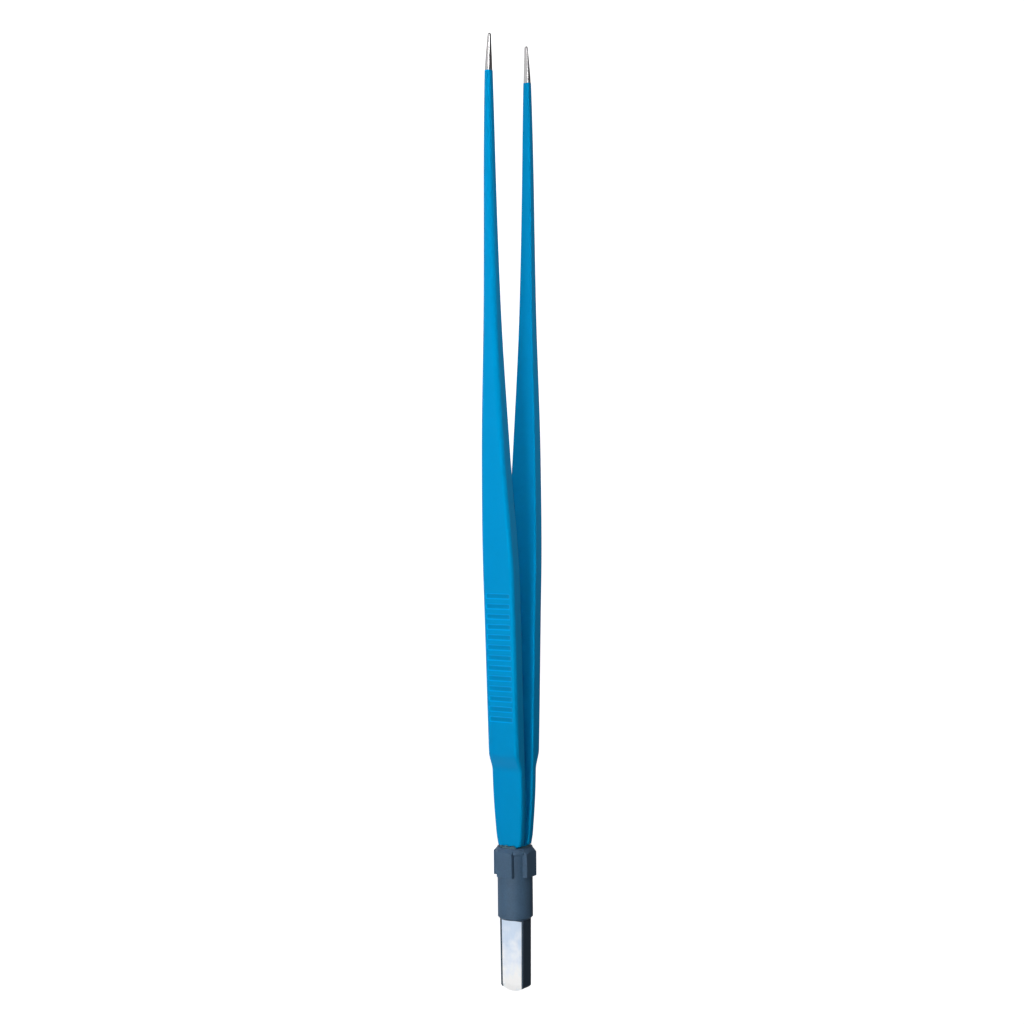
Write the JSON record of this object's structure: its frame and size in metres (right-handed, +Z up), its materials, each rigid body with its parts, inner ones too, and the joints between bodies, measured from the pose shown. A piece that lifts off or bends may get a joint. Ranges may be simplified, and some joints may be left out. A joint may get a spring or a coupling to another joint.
{
  "type": "bipolar forceps",
  "caption": "Straight sprung forceps with insulated blue tines, bare steel tips, a ribbed finger grip and a flat plug with a contact on each side.",
  "frame": {"origin": "bottom centre of the whole forceps as it lies on its side: under the middle of its length, on the surface it rests on", "axes": "+X from the plug to the tips, +Y to the left tine along the opening direction, +Z up across the width of the blades"},
  "size_m": [0.2206, 0.0186, 0.0093],
  "materials": {
    "steel": "fine satin stainless steel",
    "coat": "satin blue nylon insulation",
    "housing": "matte moulded grey plastic",
    "carrier": "matte dark grey plastic",
    "contact": "bright plated contact, lengthwise brushed",
    "potting": "rough filler bead"
  },
  "bodies": {
    "plug": {"plug_housing": "housing", "contact_carrier": "carrier", "left_contact": "contact", "right_contact": "contact", "potting": "potting"},
    "left_arm": {"left_tine": "steel", "left_coat": "coat"},
    "right_arm": {"right_tine": "steel", "right_coat": "coat"}
  },
  "joints": [
    {"name": "left_flex", "type": "hinge", "parent": "plug", "child": "left_arm", "pos_m": [-0.0817, 0.0017, 0.00467], "axis": [0, 0, -1], "range_deg": [0, 2.18], "stiffness_Nm_per_rad": 2.5},
    {"name": "right_flex", "type": "hinge", "parent": "plug", "child": "right_arm", "pos_m": [-0.0817, -0.0017, 0.00467], "axis": [0, 0, 1], "range_deg": [0, 2.18], "stiffness_Nm_per_rad": 2.5}
  ],
  "couplings": [
    {"joint": "right_flex", "follows": "left_flex", "ratio": 1}
  ]
}
